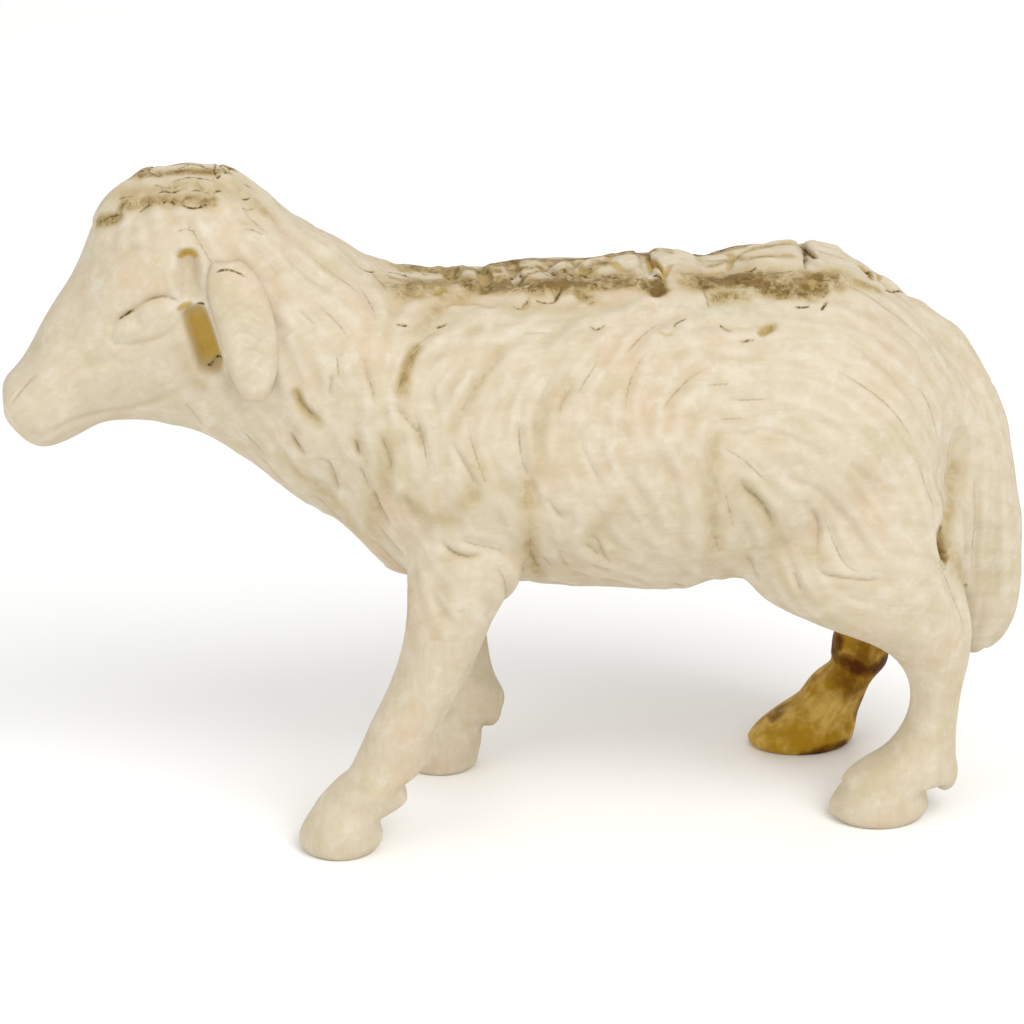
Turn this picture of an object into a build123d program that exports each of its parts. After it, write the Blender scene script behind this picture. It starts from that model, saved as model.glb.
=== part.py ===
from build123d import *
import math
import os

# A walking sheep carved in pale wood, made from separate billets that are dowelled and glued.
# X runs along the sheep with the head at the low end, Y across it, Z up.
# The near side, the sheep's left, is at the low end of Y, and the hooves stand flat at zero height.

# Overall sizes, in mm
sheep_length = 100.0
sheep_height = 66.0
trunk_width = 32.8
head_width = 17.6

# Legs: how high their joints lie under the belly, and how far in from the trunk's sides they stand
leg_height = 22.4
leg_inset = 6.8
shank_depth = 7.0
shank_width = 6.6
hoof_height = 4.6
hoof_width = 8.4
front_hoof_length = 8.0
near_rear_hoof_length = 9.6
far_rear_hoof_length = 11.2

# Where each hoof's middle stands in the stride, as a share of the sheep's length
near_front_hoof_share = -0.182
far_front_hoof_share = -0.060
near_rear_hoof_share = 0.355
far_rear_hoof_share = 0.316

# Ears, and how far their middles stand off the head's sides
ear_length = 13.2
ear_width = 5.6
ear_thickness = 3.0
ear_stand_off = 0.3

# Tail, and how far its middle stands off the end of the rump
tail_length = 36.4
tail_width = 10.4
tail_depth = 7.4
tail_stand_off = 2.3

# Chips cut across the ridge of the back, and how far their cutting wedges reach above it
back_cut_depth = 1.1
back_cut_width = 2.0
back_cut_overrun = 0.8

# Dowels and their sockets
leg_dowel_diameter = 3.0
tail_dowel_diameter = 3.0
tail_dowel_length = 9.0
neck_dowel_diameter = 6.0
neck_dowel_length = 18.0
end_clearance = 0.3

# Places are shares of the sheep's length, and heights in the body are shares of the height from
# the leg joints to the back. Neck joint: where its plane crosses the middle of the neck, and the
# neck's own direction
neck_joint_place_share = -0.200
neck_joint_height_share = 0.550
neck_direction_shares = (0.83, 0.0, -0.56)
# Where the ears start, how high the tail starts, and how high its dowel enters the rump
ear_top_place_share = -0.280
ear_top_height_share = 0.853
tail_top_height_share = 0.642
tail_dowel_height_share = 0.275

# Trunk, neck and head outline, from the muzzle to the rump. Each row holds the place, the height
# of the underside and of the top, the half width as a share of the width, and how much of that
# half width is left low down and high up on the side.
head_shares = [
    (-0.491, 0.467, 0.519, 0.28, 0.66, 0.62),
    (-0.479, 0.425, 0.570, 0.46, 0.72, 0.62),
    (-0.458, 0.391, 0.643, 0.57, 0.74, 0.60),
    (-0.427, 0.411, 0.759, 0.64, 0.72, 0.58),
    (-0.408, 0.435, 0.844, 0.69, 0.70, 0.60),
    (-0.393, 0.449, 0.923, 0.75, 0.68, 0.64),
    (-0.370, 0.451, 0.979, 0.84, 0.66, 0.70),
    (-0.342, 0.443, 1.005, 0.93, 0.66, 0.74),
    (-0.310, 0.417, 1.015, 1.00, 0.68, 0.74),
    (-0.278, 0.376, 1.014, 1.04, 0.70, 0.72),
    (-0.248, 0.320, 0.976, 1.06, 0.70, 0.70),
]
trunk_shares = [
    (-0.215, 0.255, 0.905, 0.59, 0.70, 0.70),
    (-0.182, 0.207, 0.856, 0.64, 0.70, 0.70),
    (-0.150, 0.140, 0.803, 0.71, 0.70, 0.70),
    (-0.118, 0.074, 0.765, 0.79, 0.71, 0.71),
    (-0.082, 0.049, 0.746, 0.87, 0.72, 0.72),
    (-0.035, 0.040, 0.746, 0.94, 0.72, 0.72),
    (0.030, 0.031, 0.752, 0.98, 0.72, 0.72),
    (0.095, 0.012, 0.758, 1.00, 0.72, 0.72),
    (0.160, 0.005, 0.761, 1.00, 0.72, 0.72),
    (0.225, 0.016, 0.764, 0.99, 0.72, 0.72),
    (0.290, 0.019, 0.768, 0.96, 0.72, 0.72),
    (0.340, 0.010, 0.737, 0.90, 0.72, 0.72),
    (0.380, 0.019, 0.670, 0.81, 0.72, 0.72),
    (0.412, 0.052, 0.599, 0.69, 0.72, 0.72),
    (0.437, 0.110, 0.528, 0.53, 0.72, 0.72),
    (0.455, 0.186, 0.434, 0.32, 0.72, 0.72),
]
# Cuts across the ridge of the back: their places, and their depths and widths as shares of the
# largest cut's
back_cut_shares = [
    (-0.061, 0.60),
    (-0.029, 0.70),
    (0.001, 0.75),
    (0.035, 0.80),
    (0.062, 0.70),
    (0.129, 0.90),
    (0.183, 1.00),
    (0.287, 0.90),
    (0.345, 0.80),
]
# How high on the side the low, middle and high widths are taken
side_height_shares = (0.15, 0.50, 0.85)

# Leg outlines, from the top, inside the body, down to the dewclaws. Each row holds the height,
# how far behind the hoof's middle it lies as a share of the leg's height, the depth and the width
# as shares of the shank's, and how far toward the middle of the body it leans, as a share of the
# shank's width. Heights up to 1 are shares of the leg's height, and what they have over 1 is a
# share of the body's height over the leg joints.
near_front_leg_shares = [
    (1.360, 0.64, 1.85, 1.50, 0.46),
    (1.231, 0.59, 1.95, 1.66, 0.22),
    (1.108, 0.545, 1.58, 1.52, 0.08),
    (0.98, 0.465, 1.14, 1.26, 0.00),
    (0.72, 0.37, 1.02, 1.08, 0.00),
    (0.51, 0.265, 0.98, 1.02, 0.00),
    (0.32, 0.165, 0.96, 1.04, 0.00),
    (0.25, 0.11, 1.14, 1.08, 0.00),
    (0.19, 0.075, 1.24, 1.04, 0.00),
]
far_front_leg_shares = [
    (1.360, 0.11, 1.85, 1.50, 0.46),
    (1.231, 0.08, 1.85, 1.66, 0.22),
    (1.108, 0.03, 1.52, 1.52, 0.08),
    (0.98, 0.01, 1.12, 1.26, 0.00),
    (0.72, 0.045, 1.00, 1.08, 0.00),
    (0.51, 0.075, 0.96, 1.02, 0.00),
    (0.38, 0.10, 1.06, 1.04, 0.00),
    (0.31, 0.11, 1.18, 1.08, 0.00),
    (0.245, 0.085, 1.10, 1.04, 0.00),
    (0.20, 0.03, 0.98, 1.04, 0.00),
]
near_rear_leg_shares = [
    (1.411, -0.10, 2.90, 1.60, 0.40),
    (1.257, -0.13, 3.32, 1.96, 0.20),
    (1.128, -0.11, 3.62, 1.96, 0.12),
    (1.041, -0.06, 3.22, 1.78, 0.04),
    (0.94, 0.055, 2.44, 1.50, 0.00),
    (0.79, 0.195, 1.30, 1.16, 0.00),
    (0.62, 0.235, 0.76, 0.94, 0.00),
    (0.47, 0.226, 0.70, 0.90, 0.00),
    (0.36, 0.197, 0.86, 0.96, 0.00),
    (0.28, 0.157, 1.14, 1.06, 0.00),
    (0.22, 0.105, 1.50, 1.12, 0.00),
    (0.175, 0.08, 1.64, 1.12, 0.00),
]
far_rear_leg_shares = [
    (1.411, 0.072, 2.90, 1.60, 0.40),
    (1.257, 0.042, 3.32, 1.96, 0.20),
    (1.128, 0.062, 3.62, 1.96, 0.12),
    (1.041, 0.112, 3.22, 1.78, 0.04),
    (0.94, 0.232, 2.46, 1.50, 0.00),
    (0.79, 0.332, 1.34, 1.18, 0.00),
    (0.62, 0.317, 0.92, 0.98, 0.00),
    (0.46, 0.262, 0.86, 0.94, 0.00),
    (0.32, 0.172, 1.02, 1.00, 0.00),
    (0.25, 0.115, 1.16, 1.06, 0.00),
    (0.195, 0.074, 1.30, 1.10, 0.00),
]
# Hoof rows, down to the sole: the height, how far back the row lies, the length and the width,
# each as a share of the hoof's own
hoof_shares = [
    (0.74, 0.07, 0.90, 0.93),
    (0.38, 0.00, 1.00, 1.00),
    (0.10, -0.02, 0.97, 0.97),
    (0.00, -0.02, 0.87, 0.88),
]
# How many points shape each level oval
oval_points = 12
# Which of a leg's rows a dowel runs between
dowel_low_share = 0.72
dowel_high_share = 1.144

# Ear rows, from the top down: the drop as a share of the length, how far back the row lies as a
# share of the length, the width, the thickness, and how far it stands off as a share of that
ear_shares = [
    (0.00, 0.00, 0.46, 0.50, -0.20),
    (0.10, 0.03, 0.80, 0.84, -0.10),
    (0.26, 0.07, 0.98, 1.00, 0.00),
    (0.46, 0.12, 0.98, 1.00, 0.10),
    (0.66, 0.15, 0.92, 0.92, 0.20),
    (0.86, 0.165, 0.70, 0.76, 0.26),
    (1.00, 0.17, 0.36, 0.48, 0.28),
]
# Tail rows, from the top down: the drop as a share of the length, how far back the row lies as a
# share of the depth, the depth and the width
tail_shares = [
    (0.00, -1.17, 0.38, 0.46),
    (0.12, -0.66, 0.64, 0.70),
    (0.25, -0.36, 0.80, 0.86),
    (0.40, -0.19, 0.92, 0.96),
    (0.56, -0.09, 0.98, 1.00),
    (0.72, -0.02, 1.00, 1.00),
    (0.85, 0.01, 0.92, 0.92),
    (0.95, -0.01, 0.66, 0.72),
    (1.00, -0.05, 0.30, 0.42),
]


def body_height(share):
    """Height above the floor of a share of the body's height over the leg joints."""
    return leg_height + share * (sheep_height - leg_height)


def side_ring(row, width):
    """One upright slice of the trunk or head, as a closed smooth outline across the body."""
    place_share, low_share, high_share, half_share, low_side_share, high_side_share = row
    low = body_height(low_share)
    high = body_height(high_share)
    half = half_share * width / 2
    side_halves = (low_side_share * half, half, high_side_share * half)
    side = [(y, low + share * (high - low)) for y, share in zip(side_halves, side_height_shares)]
    mirrored = [(-y, z) for y, z in reversed(side)]
    points = [(0, low)] + side + [(0, high)] + mirrored
    place = place_share * sheep_length
    return Face(Wire([Edge.make_spline([Vector(place, y, z) for y, z in points], periodic=True)]))


def flat_ring(x, y, z, depth, width):
    """One level slice of a leg, an ear or the tail, as a smooth oval that starts at its back."""
    points = []
    for step in range(oval_points):
        turn = math.tau * step / oval_points
        points.append(Vector(x + math.cos(turn) * depth / 2, y + math.sin(turn) * width / 2, z))
    return Face(Wire([Edge.make_spline(points, periodic=True)]))


def whole_body():
    """Trunk, neck and head as one smooth shape."""
    rings = [side_ring(row, head_width) for row in head_shares]
    rings += [side_ring(row, trunk_width) for row in trunk_shares]
    return loft(rings)


def back_height(place_share):
    """Height of the ridge of the back over a place."""
    for before, after in zip(trunk_shares, trunk_shares[1:]):
        if before[0] <= place_share <= after[0]:
            way_share = (place_share - before[0]) / (after[0] - before[0])
            return body_height(before[2] + way_share * (after[2] - before[2]))


def back_cut(place_share, size_share):
    """Wedge that cuts one chip out of the ridge of the back."""
    place = place_share * sheep_length
    top = back_height(place_share)
    depth = size_share * back_cut_depth
    rise = (depth + back_cut_overrun) / depth
    half_width = size_share * back_cut_width / 2 * rise
    low = Vector(place, 0, top - depth)
    corners = [Vector(place + side * half_width, 0, top + back_cut_overrun) for side in (-1, 1)]
    outline = Face(Wire(Polyline(low, *corners, close=True).edges()))
    return extrude(outline, trunk_width / 2, dir=Vector(0, 1, 0), both=True)


def leg_centre(row, hoof_place, side):
    """Middle of one of a leg's rows."""
    height_share, back_share, _, _, lean_share = row
    x = hoof_place + back_share * leg_height
    y = side * (trunk_width / 2 - leg_inset - lean_share * shank_width)
    z = body_height(height_share - 1) if height_share > 1 else height_share * leg_height
    return Vector(x, y, z)


def whole_leg(rows, hoof_place, hoof_length, side):
    """Thigh or shoulder, shank and hoof as one shape that reaches up into the body."""
    rings = []
    for row in rows:
        middle = leg_centre(row, hoof_place, side)
        rings.append(flat_ring(*middle, row[2] * shank_depth, row[3] * shank_width))
    for height_share, back_share, length_share, width_share in hoof_shares:
        x = hoof_place + back_share * hoof_length
        y = side * (trunk_width / 2 - leg_inset)
        z = height_share * hoof_height
        rings.append(flat_ring(x, y, z, length_share * hoof_length, width_share * hoof_width))
    return loft(rings)


def rod(start, end, diameter):
    """Round bar from one point to another."""
    along = end - start
    bar = Cylinder(diameter / 2, along.length, align=(Align.CENTER, Align.CENTER, Align.MIN))
    return Plane(origin=start, z_dir=along) * bar


def dowel_and_socket(start, end, diameter):
    """A dowel, and the hole for it, which is a little deeper at each end."""
    along = (end - start).normalized()
    socket = rod(start - along * end_clearance, end + along * end_clearance, diameter)
    return rod(start, end, diameter), socket


def leg_dowel_ends(rows, hoof_place, side):
    """Two points on a leg's middle line, below and above its joint."""
    ends = []
    for wanted_share in (dowel_low_share, dowel_high_share):
        nearest = min(rows, key=lambda row: abs(row[0] - wanted_share))
        ends.append(leg_centre(nearest, hoof_place, side))
    return ends


def ear(side):
    """Leaf-shaped ear that hangs beside the head."""
    rings = []
    for drop_share, back_share, width_share, thickness_share, off_share in ear_shares:
        x = ear_top_place_share * sheep_length + back_share * ear_length
        y = side * (head_width / 2 + ear_stand_off + off_share * ear_thickness)
        z = body_height(ear_top_height_share) - drop_share * ear_length
        rings.append(flat_ring(x, y, z, width_share * ear_width, thickness_share * ear_thickness))
    return loft(rings)


def whole_tail():
    """Thick tail that hangs down the middle of the rump."""
    rings = []
    for drop_share, back_share, depth_share, width_share in tail_shares:
        x = tail_place + back_share * tail_depth
        z = body_height(tail_top_height_share) - drop_share * tail_length
        rings.append(flat_ring(x, 0, z, depth_share * tail_depth, width_share * tail_width))
    return loft(rings)


tail_place = trunk_shares[-1][0] * sheep_length + tail_stand_off

# Legs: each one splits at the level joint under the belly, and its top stays with the trunk
leg_rows = {
    "front_left_leg": (near_front_leg_shares, near_front_hoof_share, front_hoof_length, -1),
    "front_right_leg": (far_front_leg_shares, far_front_hoof_share, front_hoof_length, 1),
    "rear_left_leg": (near_rear_leg_shares, near_rear_hoof_share, near_rear_hoof_length, -1),
    "rear_right_leg": (far_rear_leg_shares, far_rear_hoof_share, far_rear_hoof_length, 1),
}
leg_joint = Plane((0, 0, leg_height))
body = whole_body()
for place_share, size_share in back_cut_shares:
    body -= back_cut(place_share, size_share)
nodes = {}
sockets = {}
for name, (rows, hoof_share, hoof_length, side) in leg_rows.items():
    hoof_place = hoof_share * sheep_length
    leg = whole_leg(rows, hoof_place, hoof_length, side)
    body += leg.split(leg_joint, Keep.TOP)
    start, end = leg_dowel_ends(rows, hoof_place, side)
    dowel_name = name + "_dowel"
    nodes[dowel_name], sockets[dowel_name] = dowel_and_socket(start, end, leg_dowel_diameter)
    nodes[name] = leg.split(leg_joint, Keep.BOTTOM) - sockets[dowel_name]

# Neck joint: the head comes off across the neck, with a thick dowel along it
neck_joint_height = body_height(neck_joint_height_share)
neck_middle = Vector(neck_joint_place_share * sheep_length, 0, neck_joint_height)
neck_direction = Vector(*neck_direction_shares).normalized()
neck_joint = Plane(origin=neck_middle, z_dir=neck_direction)
half_neck_dowel = neck_direction * (neck_dowel_length / 2)
nodes["neck_dowel"], neck_socket = dowel_and_socket(
    neck_middle - half_neck_dowel, neck_middle + half_neck_dowel, neck_dowel_diameter
)
torso = body.split(neck_joint, Keep.TOP) - neck_socket
head = body.split(neck_joint, Keep.BOTTOM) - neck_socket

# Tail: it lies against the rump and is dowelled into it
tail_dowel_height = body_height(tail_dowel_height_share)
nodes["tail_dowel"], tail_socket = dowel_and_socket(
    Vector(tail_place - tail_dowel_length, 0, tail_dowel_height),
    Vector(tail_place, 0, tail_dowel_height),
    tail_dowel_diameter,
)
nodes["tail"] = whole_tail() - torso - tail_socket
torso -= tail_socket
for dowel_name, socket in sockets.items():
    torso -= socket

# Ears: each is glued into the side of the head and rests along the neck
nodes["left_ear"] = ear(-1) - head - torso
nodes["right_ear"] = ear(1) - head - torso
nodes["torso"] = torso
nodes["head"] = head

# Stand the sheep centred over the origin and write each piece
whole_box = Compound(children=[Part(shape.wrapped) for shape in nodes.values()]).bounding_box()
centring = Location((-whole_box.center().X, -whole_box.center().Y, -whole_box.min.Z))
os.makedirs("parts", exist_ok=True)
for name, shape in nodes.items():
    export_step(centring * shape, "parts/" + name + ".step")
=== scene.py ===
import bmesh
import bpy
import math
import numpy as np
from mathutils import Matrix, Vector
from mathutils.bvhtree import BVHTree


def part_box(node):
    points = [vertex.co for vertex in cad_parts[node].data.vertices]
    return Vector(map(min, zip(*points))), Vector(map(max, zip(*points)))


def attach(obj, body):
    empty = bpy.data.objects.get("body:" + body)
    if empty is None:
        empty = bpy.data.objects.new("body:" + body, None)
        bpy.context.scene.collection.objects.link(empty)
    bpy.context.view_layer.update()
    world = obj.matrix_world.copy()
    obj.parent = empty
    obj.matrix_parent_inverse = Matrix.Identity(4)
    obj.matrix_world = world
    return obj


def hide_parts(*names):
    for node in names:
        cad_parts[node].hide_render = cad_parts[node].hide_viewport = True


# A walking sheep carved in pale wood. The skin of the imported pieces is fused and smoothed, the
# cuts of the carving are pressed into it, and it is split again at the glued joints.

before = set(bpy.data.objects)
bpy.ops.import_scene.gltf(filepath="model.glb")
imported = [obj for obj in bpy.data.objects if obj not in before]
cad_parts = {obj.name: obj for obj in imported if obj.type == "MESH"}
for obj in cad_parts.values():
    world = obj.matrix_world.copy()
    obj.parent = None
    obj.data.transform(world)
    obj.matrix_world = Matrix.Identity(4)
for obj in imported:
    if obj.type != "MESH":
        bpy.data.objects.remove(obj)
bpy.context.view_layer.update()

mm = 0.001
pixel = 0.098 * mm
picture_size = 1024

# Camera, at the photograph's angle
lens_length = 150.0
sensor_width = 36.0
camera_turn = math.radians(-8.0)
camera_rise = math.radians(20.0)
camera_distance = 418.3 * mm
camera_target = Vector((-1.18, 0.0, 30.3)) * mm

# Floor and lights: name, place and size in metres, and power in watts
floor_reach = 3.0
surround_strength = 0.70
lights = (
    ("key_light", (0.30, -0.48, 0.60), 0.5, 3.7),
    ("fill_light", (-0.60, -0.35, 0.30), 0.6, 1.4),
    ("back_light", (0.10, 0.60, 0.50), 0.5, 0.7),
)

# Skin
skin_voxel = 0.25 * mm
ear_voxel = 0.12 * mm
merge_distance = 0.0001 * mm
lump_subdivisions = 4
curve_steps = 4

# Smoothing of the skin: weaker on the legs and on the ridge of the back, none at the soles
smooth_rounds = 40
ear_rounds = 6
smooth_step_share = 0.5
leg_smooth_share = 0.25
leg_smooth_heights = (20 * mm, 26 * mm)
ridge_kept_share = 0.85
ridge_heights = (51 * mm, 54 * mm)
ridge_start = (-14 * mm, -9 * mm)
sole_heights = (0.0, 1.5 * mm)

# Rear corners of the thighs: how far they are set forward, and between which places this sets in
corner_depth = 2.7 * mm
corner_lengthwise = (35 * mm, 44 * mm)
corner_sideways = (4.9 * mm, 9 * mm)
corner_bottom = (15 * mm, 27 * mm)
corner_top = (36 * mm, 49 * mm)

# Wood between the tail and each thigh: the middle and half size of each rounded lump
tail_lumps = (
    (Vector((43.2, 3.8, 31.0)) * mm, Vector((3.6, 2.5, 11.5)) * mm),
    (Vector((45.0, 3.1, 21.0)) * mm, Vector((2.8, 2.2, 7.0)) * mm),
)
# Knobs behind the fetlocks: place in the picture, side of the body, and half size
knobs = (
    (944, 768, -1, (1.35 * mm, 2.2 * mm, 2.3 * mm)),
    (388, 790, -1, (1.3 * mm, 2.2 * mm, 2.1 * mm)),
    (489, 706, 1, (1.3 * mm, 2.2 * mm, 2.1 * mm)),
)
# Front of the far hind leg: its line in the picture, and how far in mm it is set back at each height
shin_line = ((632, 729), (839, 748))
shin_down = (652, 672, 692, 712, 734)
shin_back = (0.0, 0.9, 1.6, 1.1, 0.0)
shin_front = (70, 20)

# Joints
leg_names = ("front_left_leg", "front_right_leg", "rear_left_leg", "rear_right_leg")
leg_joint_height = 22.4 * mm
tail_cap_depth = 4.0 * mm
tail_margin = 1 * mm
neck_joint_place = Vector((-21.18, 0.0, 46.38)) * mm
neck_direction = Vector((0.83, 0.0, -0.56)).normalized()

# Edge of the fleece on the face, in the picture, and above the legs
face_edge_down = (150, 212, 230, 246, 256, 300, 340, 385, 405, 425, 445)
face_edge_across = (40, 70, 100, 132, 178, 205, 218, 228, 205, 170, 160)
face_edge_width = (-6.0, 10.0)
fleece_heights = (21.0 * mm, 27.0 * mm)

# Cuts of the carving. Places are pixels of the photograph. Each row holds the width in pixels,
# the depth in mm, how dark the cut's painted shade is, as a share, and the points it runs through.
fleece_cuts = [
    (6.3, 0.61, 0.26, [(424, 345), (414, 352), (407, 364), (402, 378), (397, 392), (396, 402)]),
    (5.4, 0.44, 0.15, [(396, 402), (400, 413), (409, 424), (418, 436), (418, 455)]),
    (5.4, 0.37, 0.10, [(452, 362), (440, 374), (431, 384), (430, 394), (435, 405), (442, 416)]),
    (6.3, 0.44, 0.13, [(503, 350), (495, 363), (482, 376), (474, 388), (466, 402), (454, 426)]),
    (3.6, 0.29, 0.13, [(450, 441), (460, 456), (470, 473), (480, 489)]),
    (3.6, 0.24, 0.08, [(499, 387), (495, 405), (494, 426)]),
    (3.6, 0.24, 0.08, [(521, 397), (520, 415), (521, 438)]),
    (5.4, 0.33, 0.11, [(562, 362), (552, 377), (542, 395), (538, 412), (535, 430), (540, 456)]),
    (3.6, 0.29, 0.14, [(576, 382), (565, 397), (560, 410), (560, 419)]),
    (4.5, 0.33, 0.11, [(581, 427), (582, 443), (589, 460), (597, 476), (603, 494)]),
    (2.7, 0.11, 0.10, [(497, 385), (507, 391), (520, 394), (534, 395)]),
    (4.5, 0.31, 0.10, [(519, 465), (529, 480), (536, 494)]),
    (3.6, 0.31, 0.11, [(547, 499), (555, 510), (566, 523)]),
    (6.3, 0.29, 0.07, [(445, 477), (442, 490), (449, 505), (444, 520), (430, 531)]),
    (3.6, 0.33, 0.10, [(405, 494), (410, 507), (418, 523)]),
    (4.5, 0.40, 0.21, [(372, 489), (377, 504), (390, 527)]),
    (3.6, 0.37, 0.21, [(354, 440), (356, 450), (359, 459)]),
    (4.5, 0.37, 0.14, [(379, 434), (385, 448), (390, 464), (386, 474)]),
    (3.6, 0.31, 0.15, [(365, 352), (366, 371), (372, 390), (375, 409)]),
    (4.5, 0.46, 0.26, [(296, 388), (299, 401), (307, 412), (319, 424)]),
    (3.6, 0.31, 0.15, [(331, 379), (329, 393)]),
    (4.5, 0.37, 0.21, [(289, 433), (296, 444), (306, 456)]),
    (4.5, 0.37, 0.15, [(316, 459), (327, 462), (333, 476), (338, 497)]),
    (2.7, 0.15, 0.14, [(297, 307), (307, 317), (317, 327)]),
    (4.5, 0.40, 0.21, [(441, 540), (452, 552), (467, 557), (484, 555)]),
    (8.1, 0.55, 0.21, [(533, 533), (530, 548), (533, 562), (542, 576)]),
    (3.6, 0.29, 0.14, [(590, 535), (598, 542), (603, 555), (613, 566)]),
    (3.6, 0.26, 0.13, [(559, 549), (562, 562), (569, 572)]),
    (3.6, 0.29, 0.17, [(593, 566), (606, 571)]),
    (4.5, 0.31, 0.10, [(620, 418), (622, 430), (628, 444)]),
    (8.1, 0.29, 0.06, [(683, 364), (667, 388), (650, 411), (643, 436)]),
    (4.5, 0.22, 0.07, [(652, 462), (668, 476), (678, 494), (681, 512)]),
    (4.5, 0.22, 0.06, [(628, 476), (640, 492), (646, 511)]),
    (3.6, 0.22, 0.09, [(640, 538), (652, 550), (658, 562)]),
]
scallop_cuts = [
    (2.4, 0.20, 0.32, [(515, 304), (525, 305), (531, 297)]),
    (2.4, 0.20, 0.32, [(547, 299), (555, 299), (560, 290)]),
    (2, 0.12, 0.25, [(519, 331), (535, 332), (557, 332)]),
    (1.8, 0.20, 0.50, [(589, 326), (596, 330), (606, 325)]),
    (1.8, 0.20, 0.45, [(674, 329), (677, 322), (688, 318)]),
    (2.4, 0.16, 0.25, [(656, 330), (667, 335), (674, 331)]),
    (2.4, 0.22, 0.43, [(771, 295), (780, 297), (789, 295), (793, 289)]),
    (3.2, 0.22, 0.25, [(441, 308), (453, 302), (477, 302), (497, 310)]),
    (2.0, 0.30, 0.80, [(399, 324), (405, 325)]),
    (2.0, 0.30, 0.80, [(438, 326), (445, 323)]),
    (1.8, 0.24, 0.60, [(721, 326), (729, 331)]),
    (4, 0.34, 0.61, [(762, 333), (770, 328)]),
    (1.8, 0.20, 0.50, [(742, 341), (753, 339)]),
]
rump_cuts = [
    (2.7, 0.17, 0.08, [(695, 362), (725, 360), (757, 361), (790, 366), (825, 374), (853, 386), (875, 402)]),
    (3.6, 0.22, 0.08, [(832, 335), (851, 342), (870, 352), (887, 366), (901, 387), (918, 412), (934, 441)]),
    (4.5, 0.19, 0.06, [(750, 397), (775, 394), (805, 400), (835, 412), (856, 428), (872, 447)]),
    (3.6, 0.29, 0.09, [(712, 438), (735, 434), (750, 436), (761, 430), (782, 435), (808, 446), (836, 461)]),
    (4.5, 0.29, 0.08, [(836, 461), (853, 470), (867, 484), (878, 501), (887, 520)]),
    (2.7, 0.22, 0.09, [(800, 443), (801, 456), (797, 469)]),
    (3.6, 0.24, 0.08, [(863, 434), (875, 450), (883, 466), (891, 484)]),
    (4.5, 0.31, 0.07, [(772, 479), (781, 476), (800, 484), (818, 492),
                      (834, 507), (848, 523), (858, 540), (871, 559)]),
    (3.6, 0.38, 0.15, [(739, 478), (747, 491), (760, 502), (770, 517), (774, 531)]),
    (3.6, 0.34, 0.13, [(811, 508), (819, 525), (817, 543), (815, 562)]),
    (2.7, 0.26, 0.15, [(815, 562), (823, 574), (845, 579), (868, 582), (884, 578)]),
    (3.6, 0.36, 0.10, [(710, 448), (709, 470), (716, 487), (718, 501), (712, 524), (714, 543)]),
    (3.6, 0.29, 0.12, [(749, 560), (755, 576)]),
    (4.5, 0.34, 0.14, [(793, 572), (797, 583), (802, 593)]),
    (3.6, 0.24, 0.07, [(895, 329), (910, 340), (921, 355), (928, 372)]),
    (3.6, 0.22, 0.06, [(925, 340), (941, 356), (951, 378), (955, 400)]),
    (4.5, 0.19, 0.06, [(878, 306), (905, 321), (931, 342)]),
    (2.2, 0.17, 0.10, [(851, 601), (866, 604)]),
    (3.6, 0.19, 0.07, [(924, 613), (932, 628), (938, 645)]),
]
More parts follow.
